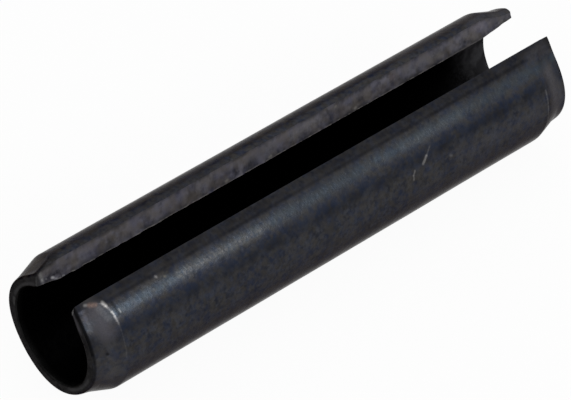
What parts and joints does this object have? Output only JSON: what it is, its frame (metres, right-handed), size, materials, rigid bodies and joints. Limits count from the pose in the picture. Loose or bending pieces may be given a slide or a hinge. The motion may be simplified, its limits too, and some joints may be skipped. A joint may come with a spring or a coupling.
{
  "type": "slotted spring pin",
  "caption": "Slotted spring pin: rolled steel tube open along one side, both ends tapered, pressed into a hole to locate or hold parts.",
  "frame": {"origin": "on the pin's axis, at half its length", "axes": "+X along the pin's axis, towards the end whose taper is shorter; +Z out through the middle of the slot; +Y across the pin"},
  "size_m": [0.036, 0.0084, 0.008],
  "materials": {
    "blackened_steel": "dark oiled heat-treatment oxide with fine brushing, rubbed brighter on the outside"
  },
  "bodies": {
    "root": {"pin_body": "blackened_steel"}
  },
  "joints": []
}
